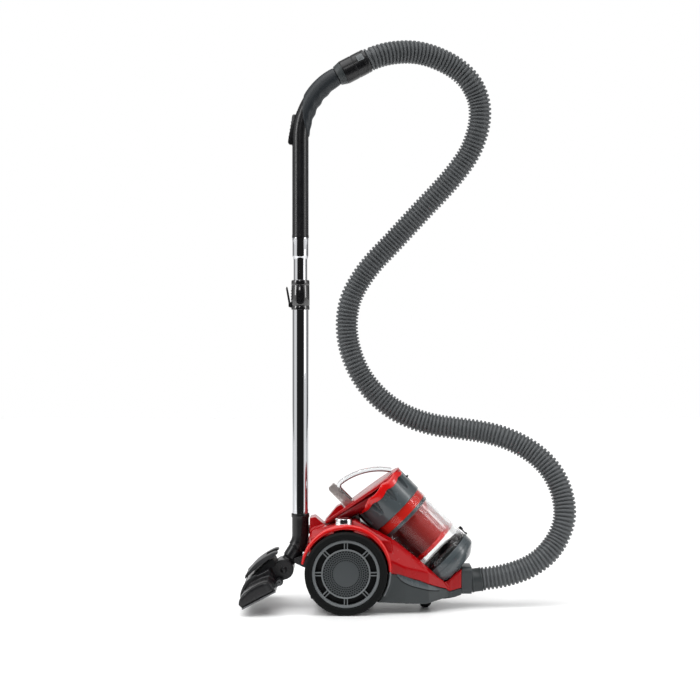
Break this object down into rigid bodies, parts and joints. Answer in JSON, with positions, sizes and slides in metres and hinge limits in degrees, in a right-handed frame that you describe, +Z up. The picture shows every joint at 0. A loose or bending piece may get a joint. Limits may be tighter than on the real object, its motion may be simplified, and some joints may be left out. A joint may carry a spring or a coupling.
{
  "type": "canister vacuum cleaner",
  "caption": "Bagless canister vacuum cleaner with a clear dust bin, big rear wheels, telescopic chrome wand, floor nozzle and ribbed hose, parked upright.",
  "frame": {"origin": "on the floor under the middle of the machine's length and width, measured without the hose", "axes": "+X towards the hose port at the front, +Y to the machine's left side, +Z up along the parked wand"},
  "size_m": [0.7192, 0.27, 1.2189],
  "materials": {
    "red_shell": "glossy moulded red",
    "grey_shell": "satin slate grey",
    "grey_collar": "satin blue grey",
    "black_plastic": "satin black",
    "tyre_rubber": "matt black",
    "grip_rubber": "soft dark slate",
    "seal_rubber": "matt",
    "wand_chrome": "polished",
    "trim_chrome": "polished plated plastic",
    "silver_trim": "satin warm silver",
    "clear_cup": "clear",
    "red_clear": "translucent red",
    "red_mesh": "fine moulded mesh",
    "dark_red": "glossy",
    "steel": "turned",
    "motor_metal": "pressed",
    "copper_windings": "varnished",
    "filter_foam": "open foam",
    "filter_paper": "pleated",
    "board_green": "lacquered board",
    "bristle": "short bristle",
    "hose_plastic": "ribbed satin grey"
  },
  "bodies": {
    "canister": {"chassis_base": "grey_shell", "body_shell": "red_shell", "port_frame": "grey_shell", "inlet_duct": "black_plastic", "side_inlays": "grey_collar", "wheel_axles": "steel", "park_bracket": "black_plastic", "cord_bush": "black_plastic", "motor_can": "motor_metal", "motor_mount": "seal_rubber", "pre_filter": "filter_foam", "exhaust_filter": "filter_paper", "reel_spindle": "steel", "control_board": "board_green", "pedal_collars": "red_shell", "chassis_screws": "steel", "power_spring": "steel", "rewind_spring": "steel", "wand_elbow": "black_plastic", "wand_outer": "wand_chrome", "lock_collar": "black_plastic", "hose": "hose_plastic", "hose_cuff": "grey_shell"},
    "rotor": {"motor_rotor": "copper_windings", "impeller": "steel"},
    "reel": {"reel_drum": "grey_shell"},
    "right_wheel": {"hub_right": "grey_shell", "tyre_right": "tyre_rubber"},
    "left_wheel": {"hub_left": "grey_shell", "tyre_left": "tyre_rubber"},
    "castor": {"castor_fork": "black_plastic"},
    "castor_pair": {"castor_wheels": "tyre_rubber"},
    "power": {"power_pedal": "trim_chrome"},
    "rewind": {"rewind_pedal": "trim_chrome"},
    "bin": {"bin_lid": "red_shell", "carry_handle": "clear_cup", "handle_strip": "dark_red", "bin_collar": "grey_collar", "bin_cup": "clear_cup", "filter_band": "red_clear", "filter_frame": "grey_shell", "filter_mesh": "red_mesh", "hepa_filter": "filter_paper", "bin_seal": "seal_rubber", "bin_door": "grey_shell"},
    "bin_release": {"release_button": "silver_trim"},
    "bin_latch": {"door_latch": "black_plastic"},
    "lever": {"lock_lever": "black_plastic"},
    "upper_wand": {"wand_inner": "wand_chrome", "handle_tube": "black_plastic", "hand_grip": "grip_rubber", "hose_socket": "black_plastic"},
    "slider": {"suction_slider": "black_plastic"},
    "hose_release": {"socket_button": "grey_shell"},
    "neck": {"nozzle_neck": "black_plastic"},
    "head": {"nozzle_head": "black_plastic", "sole_plate": "steel"},
    "floor_pedal": {"nozzle_pedal": "black_plastic"},
    "brush": {"brush_strips": "bristle"},
    "rollers": {"nozzle_rollers": "grey_shell"}
  },
  "joints": [
    {"name": "right_wheel_spin", "type": "hinge", "parent": "canister", "child": "right_wheel", "pos_m": [-0.0235, 0, 0.086], "axis": [0, 1, 0], "continuous": true},
    {"name": "left_wheel_spin", "type": "hinge", "parent": "canister", "child": "left_wheel", "pos_m": [-0.0235, 0, 0.086], "axis": [0, 1, 0], "continuous": true},
    {"name": "castor_swivel", "type": "hinge", "parent": "canister", "child": "castor", "pos_m": [0.158, 0, 0.03], "axis": [0, 0, 1], "continuous": true},
    {"name": "castor_roll", "type": "hinge", "parent": "castor", "child": "castor_pair", "pos_m": [0.146, 0, 0.013], "axis": [0, 1, 0], "continuous": true},
    {"name": "rotor_spin", "type": "hinge", "parent": "canister", "child": "rotor", "pos_m": [-0.036, 0, 0.104], "axis": [0, 1, 0], "continuous": true},
    {"name": "reel_spin", "type": "hinge", "parent": "canister", "child": "reel", "pos_m": [-0.0235, 0, 0.086], "axis": [0, 1, 0], "continuous": true},
    {"name": "power_press", "type": "slide", "parent": "canister", "child": "power", "axis": [0, 0, -1], "range_m": [0, 0.004], "stiffness_N_per_m": 500, "springref_m": -0.003, "deforming": ["power_spring"]},
    {"name": "rewind_press", "type": "slide", "parent": "canister", "child": "rewind", "axis": [0, 0, -1], "range_m": [0, 0.004], "stiffness_N_per_m": 500, "springref_m": -0.003, "deforming": ["rewind_spring"]},
    {"name": "bin_lift", "type": "slide", "parent": "canister", "child": "bin", "axis": [0, 0, 1], "range_m": [0, 0.15]},
    {"name": "bin_release_press", "type": "slide", "parent": "bin", "child": "bin_release", "axis": [0.7071, 0, -0.7071], "range_m": [0, 0.005], "stiffness_N_per_m": 600, "springref_m": -0.003},
    {"name": "bin_latch_open", "type": "hinge", "parent": "bin", "child": "bin_latch", "pos_m": [0.22514, 0, 0.16728], "axis": [0, 1, 0], "range_deg": [-12, 0], "stiffness_Nm_per_rad": 0.05, "springref_deg": 8.59},
    {"name": "lock_lever_press", "type": "hinge", "parent": "canister", "child": "lever", "pos_m": [-0.144, 0, 0.648], "axis": [0, 1, 0], "range_deg": [0, 8], "stiffness_Nm_per_rad": 0.05, "springref_deg": -8.59},
    {"name": "wand_slide", "type": "slide", "parent": "canister", "child": "upper_wand", "axis": [0, 0, 1], "range_m": [0, 0.3], "deforming": ["hose"]},
    {"name": "suction_slide", "type": "slide", "parent": "upper_wand", "child": "slider", "axis": [0.1564, 0, 0.9877], "range_m": [0, 0.01]},
    {"name": "hose_release_press", "type": "slide", "parent": "upper_wand", "child": "hose_release", "axis": [0.1579, 0.9397, -0.3034], "range_m": [0, 0.0015], "stiffness_N_per_m": 600, "springref_m": -0.002},
    {"name": "neck_swivel", "type": "hinge", "parent": "canister", "child": "neck", "pos_m": [-0.1291, 0, 0.1275], "axis": [0.5299, 0, 0.848], "range_deg": [-8, 8]},
    {"name": "nozzle_tilt", "type": "hinge", "parent": "neck", "child": "head", "pos_m": [-0.15626, 0, 0.08393], "axis": [0, 1, 0], "range_deg": [-3, 28]},
    {"name": "floor_pedal_rock", "type": "hinge", "parent": "head", "child": "floor_pedal", "pos_m": [-0.17405, 0, 0.10511], "axis": [0, 1, 0], "range_deg": [-4, 0]},
    {"name": "brush_drop", "type": "slide", "parent": "head", "child": "brush", "axis": [0.4618, 0, -0.887], "range_m": [0, 0.0052]},
    {"name": "roller_spin", "type": "hinge", "parent": "head", "child": "rollers", "pos_m": [-0.16437, 0, 0.06054], "axis": [0, 1, 0], "continuous": true}
  ],
  "couplings": [
    {"joint": "brush_drop", "follows": "floor_pedal_rock", "m_per_rad": -0.0716}
  ]
}
